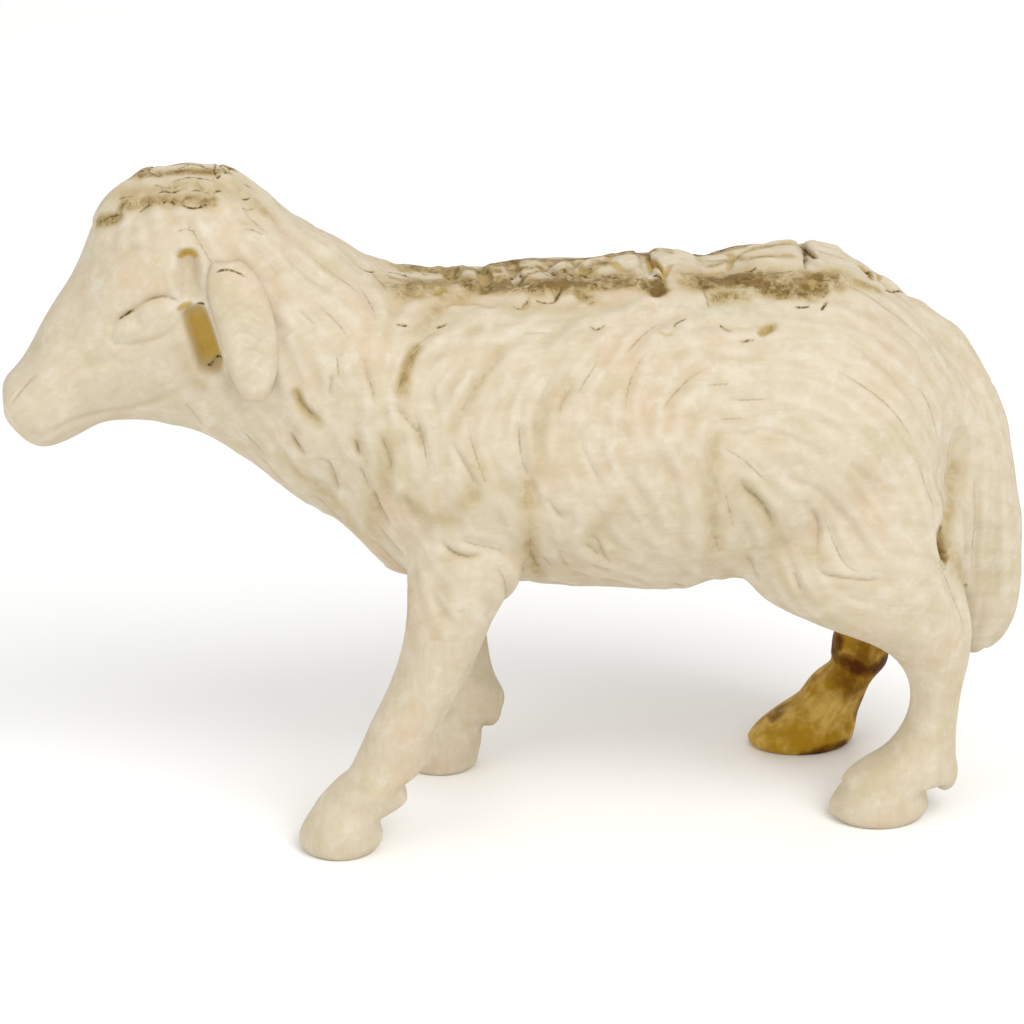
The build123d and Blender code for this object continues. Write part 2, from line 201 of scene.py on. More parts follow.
spine_cuts = [
    (1.6, 0.20, 0.85, [(388, 268), (402, 270), (418, 272), (431, 273)]),
    (1.8, 0.22, 0.90, [(417, 279), (424, 281), (432, 279)]),
    (1.6, 0.20, 0.75, [(399, 275), (408, 276)]),
    (2.0, 0.22, 0.80, [(442, 282), (450, 280), (459, 278)]),
    (2.5, 0.26, 0.95, [(435, 296), (441, 292), (447, 291)]),
    (1.8, 0.16, 0.85, [(467, 281), (472, 281)]),
    (5.0, 0.40, 0.45, [(449, 272), (452, 284)]),
    (2.5, 0.34, 0.85, [(478, 272), (488, 268), (501, 265)]),
    (5.5, 0.40, 0.50, [(482, 274), (484, 290)]),
    (2.0, 0.30, 0.90, [(511, 276), (516, 270), (523, 265)]),
    (4.0, 0.45, 0.75, [(513, 279), (519, 286)]),
    (2.0, 0.22, 0.50, [(511, 305), (520, 305), (527, 299), (530, 293)]),
    (2.2, 0.32, 0.90, [(541, 271), (548, 266), (557, 260)]),
    (2.0, 0.26, 0.85, [(556, 275), (562, 274), (566, 271)]),
    (2.2, 0.26, 0.70, [(554, 299), (558, 293), (562, 288)]),
    (1.6, 0.16, 0.55, [(534, 298), (545, 300), (556, 299)]),
    (4.0, 0.38, 0.60, [(571, 268), (576, 263), (582, 257)]),
    (2.0, 0.30, 0.85, [(576, 276), (588, 277), (599, 275)]),
    (4.0, 0.34, 0.55, [(602, 263), (608, 258), (616, 253)]),
    (2.0, 0.26, 0.60, [(604, 276), (616, 278), (632, 277)]),
    (2.6, 0.60, 0.95, [(643, 251), (647, 259), (650, 270)]),
    (7.5, 0.75, 0.62, [(657, 279), (657, 290)]),
    (2.0, 0.30, 0.90, [(650, 276), (655, 274), (664, 276)]),
    (2.4, 0.30, 0.60, [(672, 262), (668, 268), (665, 275)]),
    (1.8, 0.22, 0.75, [(680, 274), (688, 272), (697, 273)]),
    (2.4, 0.34, 0.95, [(697, 276), (706, 273), (716, 271), (726, 268)]),
    (2.4, 0.40, 0.80, [(697, 276), (700, 282), (703, 290)]),
    (1.6, 0.18, 0.35, [(703, 290), (707, 299), (711, 308)]),
    (3.5, 0.34, 0.50, [(727, 269), (730, 261), (733, 254)]),
    (2.0, 0.24, 0.85, [(743, 271), (750, 270), (757, 266)]),
    (1.6, 0.16, 0.60, [(741, 279), (750, 279), (756, 276)]),
    (1.8, 0.22, 0.60, [(773, 275), (777, 270), (786, 268), (796, 268)]),
    (2.2, 0.55, 0.90, [(803, 249), (805, 257), (807, 267)]),
    (2.4, 0.45, 0.95, [(807, 271), (811, 282), (816, 294)]),
    (6.5, 0.40, 0.50, [(817, 276), (819, 289)]),
    (2.0, 0.26, 0.80, [(812, 271), (822, 269), (831, 272)]),
    (2.0, 0.20, 0.70, [(822, 309), (827, 302)]),
    (1.6, 0.16, 0.60, [(793, 306), (802, 307), (811, 306)]),
    (2.4, 0.45, 0.90, [(857, 261), (863, 264), (867, 272), (872, 281)]),
    (2.0, 0.18, 0.60, [(884, 288), (893, 291), (903, 294)]),
    (7.0, -0.30, 0.0, [(440, 269), (462, 268)]),
    (6.0, -0.30, 0.0, [(549, 268), (562, 266)]),
    (7.0, -0.34, 0.0, [(584, 266), (596, 265)]),
    (7.0, -0.34, 0.0, [(614, 263), (636, 262)]),
    (6.0, -0.30, 0.0, [(678, 266), (694, 264)]),
    (7.0, -0.34, 0.0, [(756, 262), (798, 260)]),
    (7.0, -0.34, 0.0, [(814, 262), (844, 268)]),
    (9.0, -0.22, 0.0, [(622, 294), (640, 308)]),
    (9.0, -0.22, 0.0, [(664, 304), (688, 315)]),
    (12.0, -0.25, 0.0, [(448, 314), (470, 310), (492, 318)]),
]
cap_cuts = [
    (1.6, 0.12, 0.60, [(137, 174), (149, 174), (163, 176)]),
    (1.6, 0.16, 0.80, [(172, 172), (183, 167), (194, 165), (203, 166), (211, 170)]),
    (1.6, 0.16, 0.80, [(216, 163), (214, 170), (218, 177), (222, 174)]),
    (1.4, 0.12, 0.70, [(221, 164), (226, 170), (224, 176)]),
    (1.4, 0.08, 0.50, [(168, 181), (188, 178), (203, 179), (218, 180)]),
    (1.4, 0.08, 0.40, [(150, 184), (166, 186), (180, 184)]),
    (1.6, 0.14, 0.55, [(155, 194), (164, 190), (172, 191), (184, 187)]),
    (1.4, 0.10, 0.45, [(188, 192), (200, 190), (212, 193)]),
    (1.6, 0.14, 0.60, [(137, 211), (142, 206), (147, 204), (152, 205)]),
    (1.6, 0.14, 0.60, [(160, 205), (166, 201), (172, 202), (176, 206)]),
    (1.6, 0.16, 0.65, [(180, 204), (188, 208), (197, 208), (206, 204), (212, 205)]),
    (1.4, 0.10, 0.50, [(212, 194), (219, 190), (224, 191)]),
    (1.4, 0.12, 0.70, [(241, 197), (246, 199), (250, 199)]),
    (1.4, 0.12, 0.60, [(243, 183), (248, 185), (252, 188)]),
    (1.4, 0.10, 0.45, [(242, 206), (250, 209), (257, 207)]),
    (5.0, 0.26, 0.30, [(99, 226), (107, 220), (119, 215)]),
    (1.4, 0.10, 0.55, [(98, 224), (104, 218), (113, 213), (121, 213)]),
    (1.4, 0.08, 0.40, [(116, 199), (126, 196), (135, 196)]),
    (1.4, 0.10, 0.35, [(176, 232), (186, 229), (198, 231)]),
    (1.4, 0.10, 0.35, [(243, 229), (254, 230), (264, 236)]),
    (5.0, 0.22, 0.10, [(112, 232), (132, 228), (150, 234), (172, 240)]),
    (5.0, 0.26, 0.10, [(92, 240), (104, 248), (122, 250), (140, 247), (160, 250)]),
    (5.0, 0.22, 0.08, [(130, 214), (146, 222), (164, 218), (182, 222)]),
    (5.0, 0.22, 0.08, [(205, 218), (220, 224), (236, 217), (252, 222)]),
    (1.6, 0.10, 0.40, [(293, 216), (316, 230), (338, 240)]),
    (4.0, 0.16, 0.08, [(255, 240), (272, 262), (290, 285), (300, 300)]),
    (4.0, 0.14, 0.08, [(282, 250), (300, 268), (322, 286)]),
    (1.6, 0.20, 0.80, [(357, 262), (366, 267), (377, 269)]),
]
face_cuts = [
    (1.6, 0.16, 0.30, [(9, 407), (17, 395), (27, 383), (38, 373)]),
    (7.0, 0.26, 0.10, [(38, 373), (60, 370), (80, 368), (103, 362), (127, 354), (150, 350), (174, 340)]),
    (5.0, 0.26, 0.14, [(37, 441), (60, 428), (78, 420), (100, 414),
                      (130, 409), (156, 402), (180, 391), (198, 380)]),
    (5.0, 0.12, 0.05, [(110, 262), (97, 290), (75, 306), (55, 322)]),
    (2.4, 0.36, 0.22, [(108, 336), (114, 324), (124, 315), (135, 309),
                      (147, 301), (160, 297), (172, 298), (186, 306)]),
    (1.4, 0.20, 0.66, [(117, 321), (124, 316), (129, 313), (135, 311)]),
    (1.2, 0.10, 0.36, [(142, 303), (152, 299), (163, 297), (172, 299), (180, 303)]),
    (3.0, 0.26, 0.14, [(108, 336), (114, 343), (124, 345), (139, 344), (158, 339), (172, 331), (182, 319)]),
    (3.0, 0.16, 0.10, [(141, 312), (137, 319), (141, 327)]),
    (10.0, -0.42, 0.0, [(152, 314), (164, 311)]),
    (7.0, -0.32, 0.0, [(122, 332), (131, 330)]),
    (5.0, -0.20, 0.0, [(106, 348), (120, 357), (144, 354), (164, 347), (184, 336)]),
    (4.0, -0.16, 0.0, [(112, 314), (124, 303), (140, 295), (160, 288), (176, 290)]),
    (9.0, -0.24, 0.0, [(108, 352), (90, 372), (62, 384)]),
    (5.0, -0.24, 0.0, [(167, 262), (169, 278), (172, 292)]),
]
# The ear slot: a deep pocket, darkened with painted shade
slot_cuts = [
    (10.0, 1.20, 0.06, [(187, 248), (188, 264), (190, 284), (193, 304)]),
    (12.0, 1.90, 0.70, [(191, 304), (196, 321), (203, 343), (213, 377)]),
]
slot_edge_cuts = [
    (2.4, 0.20, 0.70, [(178, 312), (182, 307), (188, 305), (193, 304)]),
    (1.4, 0.20, 0.80, [(196, 306), (200, 304), (205, 306)]),
    (2.0, 0.40, 1.00, [(204, 372), (210, 371), (215, 366), (222, 361)]),
    (2.7, 0.20, 0.80, [(178, 259), (181, 254), (187, 251), (193, 253), (197, 258)]),
    (2.0, 0.14, 0.16, [(177, 266), (176, 280), (178, 296)]),
]
ear_cuts = [
    (1.4, 0.14, 0.60, [(214, 273), (222, 270), (230, 270), (239, 273), (248, 278)]),
    (2.5, 0.10, 0.10, [(222, 310), (236, 306), (250, 309), (264, 319)]),
    (2.5, 0.10, 0.12, [(229, 338), (241, 333), (253, 336), (264, 346)]),
    (2.0, 0.07, 0.07, [(224, 323), (239, 319), (254, 322), (268, 332)]),
    (2.0, 0.07, 0.07, [(233, 355), (247, 350), (259, 353), (270, 362)]),
    (2.0, 0.07, 0.07, [(237, 371), (251, 366), (262, 369), (272, 377)]),
    (2.0, 0.06, 0.06, [(214, 291), (230, 287), (246, 290), (258, 298)]),
    (2.5, -0.16, 0.0, [(206, 288), (209, 302), (214, 318), (220, 340), (226, 360)]),
]
tail_cuts = [
    (5.0, 0.20, 0.12, [(962, 452), (957, 472), (952, 494), (948, 516)]),
    (2.0, 0.14, 0.40, [(941, 560), (946, 570), (950, 568)]),
    (5.0, 0.16, 0.10, [(947, 350), (962, 372), (978, 400), (988, 430)]),
    (4.0, 0.14, 0.10, [(972, 342), (988, 368), (1001, 402)]),
    (4.0, 0.14, 0.10, [(988, 440), (994, 480), (996, 520), (993, 560)]),
    (4.0, 0.12, 0.10, [(972, 470), (976, 510), (977, 550), (972, 590)]),
    (4.0, 0.14, 0.12, [(985, 590), (982, 615), (975, 638)]),
]
# The hole and hollow between the tail and the thigh, darkened with painted shade
hollow_cuts = [
    (6.0, 0.90, 0.95, [(945, 530), (946, 545), (949, 560)]),
    (13.0, 0.50, 0.12, [(962, 425), (957, 460), (951, 500), (947, 540), (953, 575), (964, 606)]),
]
# Areas where the wood is stained by age, and areas of painted shade in folds and hollows, with the half
# width in pixels and how strongly
stains_and_painted_shade = [
    (24.0, 0.66, [(400, 286), (470, 283), (560, 281), (650, 279)]),
    (24.0, 0.66, [(692, 280), (760, 277), (836, 280)]),
    (10.0, 0.60, [(392, 277), (430, 281), (462, 280)]),
    (16.0, 0.55, [(398, 292), (430, 294), (462, 294)]),
    (16.0, 0.95, [(470, 286), (500, 286), (530, 287), (560, 286)]),
    (8.0, 0.70, [(478, 270), (520, 267), (560, 264), (600, 262)]),
    (13.0, 0.90, [(560, 284), (600, 285), (645, 284)]),
    (10.0, 0.70, [(574, 288), (592, 300)]),
    (10.0, 1.30, [(656, 280), (660, 288)]),
    (15.0, 1.25, [(706, 284), (730, 281), (755, 280)]),
    (11.0, 0.65, [(716, 298), (744, 296)]),
    (16.0, 1.00, [(755, 284), (780, 287), (806, 290)]),
    (10.0, 1.20, [(818, 276), (821, 290)]),
    (9.0, 0.50, [(838, 280), (858, 284), (880, 290)]),
    (7.0, 0.60, [(700, 262), (745, 258), (790, 256)]),
    (14.0, 0.45, [(440, 302), (432, 318), (420, 332)]),
    (14.0, 0.30, [(500, 306), (560, 306), (620, 304)]),
    (9.0, 0.75, [(100, 222), (118, 214)]),
    (11.0, 0.66, [(122, 205), (150, 200), (190, 200), (212, 201)]),
    (8.0, 0.74, [(132, 178), (180, 172), (226, 171)]),
    (16.0, 0.40, [(120, 196), (180, 186), (230, 190)]),
    (12.0, 0.44, [(236, 186), (252, 202), (270, 216)]),
    # From here to the rows on the front leg: painted shade in folds of the neck, chest, flank, shoulder and
    # thigh, beside the ear slot, and in the hole and hollow by the tail
    (8.0, 0.50, [(404, 395), (406, 372), (416, 348)]),
    (14.0, 0.42, [(536, 575), (528, 545), (530, 515), (524, 485)]),
    (16.0, 0.34, [(372, 560), (372, 520), (384, 480), (388, 440)]),
    (18.0, 0.34, [(408, 500), (440, 520), (470, 500), (480, 470)]),
    (12.0, 0.30, [(452, 430), (470, 400), (486, 372), (500, 350)]),
    (16.0, 0.34, [(712, 560), (716, 520), (712, 480), (716, 440)]),
    (14.0, 0.34, [(300, 470), (330, 500), (360, 535)]),
    (16.0, 0.30, [(540, 470), (536, 440), (550, 410), (566, 380)]),
    (14.0, 0.28, [(590, 540), (604, 520), (620, 500)]),
    (18.0, 0.30, [(740, 490), (762, 510), (786, 540), (820, 560)]),
    (12.0, 0.28, [(770, 560), (790, 590), (820, 600)]),
    (8.0, 0.40, [(296, 392), (304, 410), (318, 424)]),
    (8.0, 0.95, [(944, 532), (946, 545), (949, 558)]),
    (14.0, 0.42, [(958, 470), (950, 530), (962, 580)]),
    (12.0, 0.34, [(182, 350), (190, 372), (200, 386)]),
    (10.0, 0.34, [(412, 590), (404, 640), (388, 690), (362, 745), (330, 790)]),
    (12.0, 0.26, [(450, 560), (440, 620), (430, 660)]),
    (7.0, 0.60, [(764, 330), (772, 326)]),
]
# Darker patches of the far hind leg
far_leg_dark_patches = [
    (10.0, 1.20, [(842, 654), (862, 661), (884, 655)]),
    (26.0, 0.55, [(862, 644), (858, 664), (846, 676)]),
    (4.5, 0.85, [(838, 634), (829, 656), (806, 683), (784, 702), (768, 713)]),
    (12.0, 0.26, [(812, 740), (822, 722), (840, 716)]),
    (7.0, 0.85, [(796, 742), (818, 736), (838, 734)]),
    (5.0, 0.60, [(858, 690), (852, 706), (856, 722), (846, 738)]),
    (4.0, 0.70, [(752, 750), (785, 756), (820, 750), (844, 740)]),
    (4.0, 0.55, [(886, 652), (872, 674), (862, 697)]),
]
# Gouge strokes all over the fleece: how far apart, how long and deep they are
stroke_seed = 11
stroke_spacing = 1.9 * mm
stroke_length_share = 0.5
stroke_tries = 12000
stroke_step = 0.7 * mm
stroke_steps = (3, 6)
rump_steps = (6, 11)
rump_start = 22 * mm
stroke_widths = (0.50 * mm, 0.85 * mm)
stroke_depths = (0.10 * mm, 0.26 * mm)
# Painted shade in the gouge strokes, and in the thin cracks along some of them
stroke_darkness_shares = (0.03, 0.15)
rump_stroke_share = 0.55
woolly_share = 0.5
guide_reach = 3 * mm
level_share = 0.3
crack_width = 0.15 * mm
crack_share = 0.16
crack_darkness_share = 0.30
# Raised lip beside a stroke: its height as a share, and its place and width in widths of the stroke
lip_share = 0.35
lip_place = 1.8
lip_width = 0.9
# Unevenness of the fleece: height, length and seed of each set of waves
lumps = ((0.18 * mm, 3.5 * mm, 3), (0.06 * mm, 1.7 * mm, 5))
wave_count = 7
wave_spread = (0.7, 1.3)
widest_gap = 2.2 * mm
far_side_shift = 0.7 * mm
cut_reach = 3
cut_sharpness = 2
pocket_sharpness = 4
taper_power = 4
# Thin dark crease along the bottom of the fleece's deeper cuts, its darkness painted shade, with the same
# columns as the cuts
crease_width = 1.4
crease_depth = 0.10
crease_darkness_share = 1.7
crease_least = 0.10
crease_most = 0.32
# Hairlines of painted shade drawn in the narrow cuts
hairline_width = 2.2 * pixel
hairline_reach = 0.35 * mm
hairline_tone_share = 0.5
no_line = 9.0 * mm


def camera_axes():
    """Right, up and backward directions of the camera."""
    level = math.cos(camera_rise)
    back = Vector((math.sin(camera_turn) * level, -math.cos(camera_turn) * level, math.sin(camera_rise)))
    right = Vector((math.cos(camera_turn), math.sin(camera_turn), 0.0))
    return right, back.cross(right), back


def add_camera():
    """The camera looks at the sheep's left side from a little above."""
    right, up, back = camera_axes()
    data = bpy.data.cameras.new("camera")
    data.lens = lens_length
    data.sensor_width = sensor_width
    camera = bpy.data.objects.new("camera", data)
    turned = Matrix((right, up, back)).transposed()
    camera.matrix_world = Matrix.Translation(camera_target + back * camera_distance) @ turned.to_4x4()
    bpy.context.scene.collection.objects.link(camera)
    bpy.context.scene.camera = camera


def picture_places(points):
    """Where points show in the picture, in pixels from its upper left corner."""
    right, up, back = (np.array(axis) for axis in camera_axes())
    offsets = points - np.array(camera_target) - back * camera_distance
    depth = -(offsets @ back)
    focal = lens_length / sensor_width * picture_size
    across = picture_size / 2 + focal * (offsets @ right) / depth
    down = picture_size / 2 - focal * (offsets @ up) / depth
    return np.stack([across, down], axis=1)


def point_seen(across, down, side):
    """The point at a pixel of the picture, on the upright plane that lies side along Y."""
    right, up, back = camera_axes()
    focal = lens_length / sensor_width * picture_size
    ray = right * (across - picture_size / 2) - up * (down - picture_size / 2) - back * focal
    start = camera_target + back * camera_distance
    return start + ray * ((side - start.y) / ray.y)


def eased(values, start, end):
    """Smooth step from 0 at start to 1 at end."""
    share = np.clip((values - start) / (end - start), 0.0, 1.0)
    return share * share * (3 - 2 * share)


def waves(points, length, seed):
    """Smooth uneven pattern from -1 to 1, with features about length long."""
    chosen = np.random.default_rng(seed)
    total = np.zeros(len(points))
    for _ in range(wave_count):
        direction = chosen.normal(size=3)
        direction *= chosen.uniform(*wave_spread) * math.tau / (2 * length) / np.linalg.norm(direction)
        total += np.sin(points @ direction + chosen.uniform(0, math.tau))
    return total / math.sqrt(wave_count)


def smooth_path(points):
    """More points along a smooth curve through the given ones."""
    given = np.array(points, float)
    padded = np.vstack([2 * given[0] - given[1], given, 2 * given[-1] - given[-2]])
    path = []
    for before, start, end, after in zip(padded, padded[1:], padded[2:], padded[3:]):
        for step in range(curve_steps):
            t = step / curve_steps
            bend = 2 * before - 5 * start + 4 * end - after
            twist = 3 * start - before - 3 * end + after
            path.append(start + 0.5 * t * ((end - before) + t * (bend + t * twist)))
    path.append(given[-1])
    return np.array(path)


def nearest_on(points, normals, path):
    """Distance from each point to a path, signed by the side it lies on, and how far along it is."""
    best = np.full(len(points), np.inf)
    side = np.zeros(len(points))
    along = np.zeros(len(points))
    steps = np.diff(path, axis=0)
    lengths = np.linalg.norm(steps, axis=1)
    passed = 0.0
    for start, step, length in zip(path, steps, lengths):
        if length == 0.0:
            continue
        offset = points - start
        share = np.clip(offset @ step / length ** 2, 0.0, 1.0)
        distance = np.linalg.norm(offset - share[:, None] * step, axis=1)
        closer = distance < best
        best[closer] = distance[closer]
        turned = np.einsum("ij,ij->i", np.cross(step, offset[closer]), normals[closer])
        side[closer] = np.sign(turned)
        along[closer] = (passed + share[closer] * length) / lengths.sum()
        passed += length
    return best * side, along


def press_cuts(points, normals, cuts, sharpness=cut_sharpness):
    """Depth, darkness of painted shade, crests, and signed distance to the nearest hairline of painted shade
    with its strength.
    """
    depth = np.zeros(len(points))
    dark = np.zeros(len(points))
    line = np.full(len(points), no_line)
    strength = np.zeros(len(points))
    crest = np.zeros(len(points))
    for width, cut_depth, darkness, path, lip, tapered in cuts:
        reach = cut_reach * max(width, hairline_reach)
        low = path.min(0)
        high = path.max(0)
        inside = (points > low - reach) & (points < high + reach)
        near = np.flatnonzero(inside.all(axis=1))
        if len(near) == 0 or (low == high).all():
            continue
        signed, along = nearest_on(points[near], normals[near], path)
        ends = 1 - (2 * along - 1) ** taper_power if tapered else 1.0
        pressed = np.exp(-np.abs(signed / width) ** sharpness) * ends
        raised = np.exp(-((signed / width - lip_place) / lip_width) ** 2) * ends
        depth[near] += cut_depth * (pressed - lip * raised)
        if lip:
            crest[near] = np.maximum(crest[near], raised)
        if width > hairline_width:
            dark[near] = np.maximum(dark[near], darkness * pressed)
            continue
        dark[near] = np.maximum(dark[near], hairline_tone_share * darkness * pressed)
        here = darkness * np.exp(-(signed / hairline_reach) ** 2) * ends
        stronger = here > strength[near]
        strength[near] = np.where(stronger, here, strength[near])
        line[near] = np.where(stronger, signed, line[near])
    return depth, dark, crest, line, strength


def surface_tree(mesh):
    """Search tree of a mesh's surface."""
    bm = bmesh.new()
    bm.from_mesh(mesh)
    tree = BVHTree.FromBMesh(bm)
    bm.free()
    return tree


def seen_on(tree, across, down):
    """The point of a surface at a pixel of the picture."""
    eye = camera_target + camera_axes()[2] * camera_distance
    aim = point_seen(across, down, 0.0)
    hit = tree.ray_cast(eye, (aim - eye).normalized())[0]
    return hit or tree.find_nearest(aim)[0]


def laid_paths(tree, points):
    """A path of the picture laid on both sides of a surface, in runs with no wide gap."""
    near_side = [seen_on(tree, across, down) for across, down in smooth_path(points)]
    shifted = [Vector((place.x + far_side_shift, -place.y, place.z)) for place in near_side]
    far_side = [tree.find_nearest(place)[0] for place in shifted]
    runs = []
    for side in (near_side, far_side):
        run = [side[0]]
        for place in side[1:]:
            if (place - run[-1]).length > widest_gap:
                runs.append(run)
                run = []
            run.append(place)
        runs.append(run)
    return [np.array(run) for run in runs if len(run) > 1]


def laid_cuts(tree, rows):
    """Rows of a table of cuts, laid on a surface."""
    cuts = []
    for width, depth, darkness, points in rows:
        for path in laid_paths(tree, points):
            cuts.append((width * pixel, depth * mm, darkness, path, 0.0, len(points) > 2))
    return cuts


def run_of_fleece(cuts):
    """Places on the guiding cuts and the way the cuts run there, as twice their angle in side view."""
    places = []
    angles = []
    for _, _, _, path, _, _ in cuts:
        for start, end in zip(path[:-1:curve_steps], path[curve_steps::curve_steps]):
            places.append((start + end)[[0, 2]] / 2)
            angles.append(2 * math.atan2(end[2] - start[2], end[0] - start[0]))
    return np.array(places), np.array(angles)


def way_at(point, normal, guides):
    """Direction of the fleece at a point of the surface, downward."""
    places, angles = guides
    apart = ((places - np.array((point[0], point[2]))) ** 2).sum(axis=1)
    weights = 1 / (apart + guide_reach ** 2) ** 2
    angle = math.atan2(weights @ np.sin(angles), weights @ np.cos(angles)) / 2
    way = np.array((math.cos(angle), 0.0, math.sin(angle)))
    way -= normal * (way @ normal)
    if np.linalg.norm(way) < level_share:
        way += np.cross(normal, (0.0, 1.0, 0.0))
    way *= -1.0 if way[2] > 0 else 1.0
    return way / np.linalg.norm(way)


def stroke_path(tree, point, normal, steps, guides):
    """Path of a gouge stroke over the surface, along the run of the fleece on both sides of a point."""
    halves = []
    for sign in (1, -1):
        place = Vector(point)
        half = []
        found = normal
        for _ in range(steps):
            half.append(np.array(place))
            ahead = place + Vector(sign * stroke_step * way_at(place, found, guides))
            place, found, _, _ = tree.find_nearest(ahead)
            found = np.array(found)
        halves.append(half)
    return np.array(halves[1][:0:-1] + halves[0])


def gouge_strokes(tree, points, normals, share, guides):
    """Evenly scattered short gouge strokes that follow the run of the fleece."""
    chosen = np.random.default_rng(stroke_seed)
    woolly = np.flatnonzero(share > woolly_share)
    kept = np.empty((0, 3))
    strokes = []
    for index in chosen.choice(woolly, stroke_tries, replace=False):
        point = points[index]
        way = way_at(point, normals[index], guides)
        offset = kept - point
        lengthwise = offset @ way
        squared = (offset ** 2).sum(axis=1) - (1 - stroke_length_share ** 2) * lengthwise ** 2
        if len(kept) and squared.min() < stroke_spacing ** 2:
            continue
        kept = np.vstack([kept, point])
        steps = chosen.integers(*(rump_steps if point[0] > rump_start else stroke_steps), endpoint=True)
        path = stroke_path(tree, point, normals[index], steps, guides)
        width = chosen.uniform(*stroke_widths)
        eased_off = rump_stroke_share if point[0] > rump_start else 1.0
        depth = chosen.uniform(*stroke_depths) * share[index] * eased_off
        darkness = chosen.uniform(*stroke_darkness_shares) * eased_off
        strokes.append((width, depth, darkness, path, lip_share, True))
        if chosen.uniform() < crack_share:
            strokes.append((crack_width, depth / 2, crack_darkness_share, path, 0.0, True))
    return strokes


def fleece_share(places, heights):
    """1 on the fleece and 0 on the smooth face and legs."""
    across, down = places.T
    face_edge = np.interp(down, face_edge_down, face_edge_across)
    return eased(across - face_edge, *face_edge_width) * eased(heights, *fleece_heights)


def read_places(mesh):
    """Vertex places as rows."""
    places = np.empty(len(mesh.vertices) * 3, np.float32)
    mesh.vertices.foreach_get("co", places)
    return places.reshape(-1, 3).astype(float)


def write_places(mesh, places):
    """Moves the vertices to the given places."""
    mesh.vertices.foreach_set("co", places.astype(np.float32).ravel())
    mesh.update()


def read_normals(mesh):
    """Vertex normals as rows."""
    normals = np.empty(len(mesh.vertices) * 3, np.float32)
    mesh.vertex_normals.foreach_get("vector", normals)
    return normals.reshape(-1, 3).astype(float)


def write_values(mesh, name, values):
    """Stores one number for each vertex."""
    attribute = mesh.attributes.new(name, "FLOAT", "POINT")
    attribute.data.foreach_set("value", values.astype(np.float32))


def lump(place, size):
    """Rounded lump as a mesh, with its half size along each axis."""
    bm = bmesh.new()
    bmesh.ops.create_icosphere(bm, subdivisions=lump_subdivisions, radius=1.0)
    bmesh.ops.transform(bm, matrix=Matrix.Translation(place) @ Matrix.Diagonal((*size, 1.0)), verts=bm.verts)
    mesh = bpy.data.meshes.new("lump")
    bm.to_mesh(mesh)
    bm.free()
    return mesh


def fused_skin(name, meshes, voxel):
    """Closed meshes fused into one even skin."""
    bm = bmesh.new()
    for mesh in meshes:
        bm.from_mesh(mesh)
    bmesh.ops.remove_doubles(bm, verts=bm.verts, dist=merge_distance)
    rough = bpy.data.meshes.new(name)
    bm.to_mesh(rough)
    bm.free()
    obj = bpy.data.objects.new(name, rough)
    bpy.context.scene.collection.objects.link(obj)
    remesh = obj.modifiers.new("skin", "REMESH")
    remesh.mode = "VOXEL"
    remesh.voxel_size = voxel
    ready = obj.evaluated_get(bpy.context.evaluated_depsgraph_get())
    skin = bpy.data.meshes.new_from_object(ready)
    bpy.data.objects.remove(obj)
    bpy.data.meshes.remove(rough)
    return skin


def smoothed(mesh, weights, rounds):
    """Evens the skin out, by each vertex's weight."""
    places = read_places(mesh)
    ends = np.empty(len(mesh.edges) * 2, np.int32)
    mesh.edges.foreach_get("vertices", ends)
    first, second = ends.reshape(-1, 2).T
    total = len(places)
    neighbours = np.bincount(first, minlength=total) + np.bincount(second, minlength=total)
    for _ in range(rounds):
        for axis in range(3):
            here = places[:, axis]
            around = np.bincount(first, here[second], total) + np.bincount(second, here[first], total)
            places[:, axis] = here + smooth_step_share * weights * (around / neighbours - here)
    write_places(mesh, places)


def far_leg_darkening(points, normals):
    """How much darker the far hind leg is at each point, alike through its whole width."""
    side = sum(corner.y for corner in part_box("rear_right_leg")) / 2
    flat = np.array((1.0, 0.0, 1.0))
    rows = []
    for width, amount, places in far_leg_dark_patches:
        path = np.array([point_seen(across, down, side) for across, down in smooth_path(places)])
        rows.append((width * pixel, 0.0, amount, path * flat, 0.0, False))
    amounts = press_cuts(points * flat, normals, rows)[1]
    return amounts * (points[:, 1] > 0)


def body_stain_and_shade(tree, points, normals):
    """How stained the trunk and head are at each point, together with painted shade in their folds and
    hollows.
    """
    rows = [(width * pixel, 0.0, amount, path, 0.0, False)
            for width, amount, places in stains_and_painted_shade for path in laid_paths(tree, places)]
    return press_cuts(points, normals, rows)[1] * (points[:, 2] > leg_joint_height)


def fleece_creases():
    """Thin creases along the deeper cuts of the fleece, darkened with painted shade."""
    return [(crease_width, crease_depth, min(darkness * crease_darkness_share, crease_most), places)
            for _, _, darkness, places in fleece_cuts + rump_cuts if darkness > crease_least]


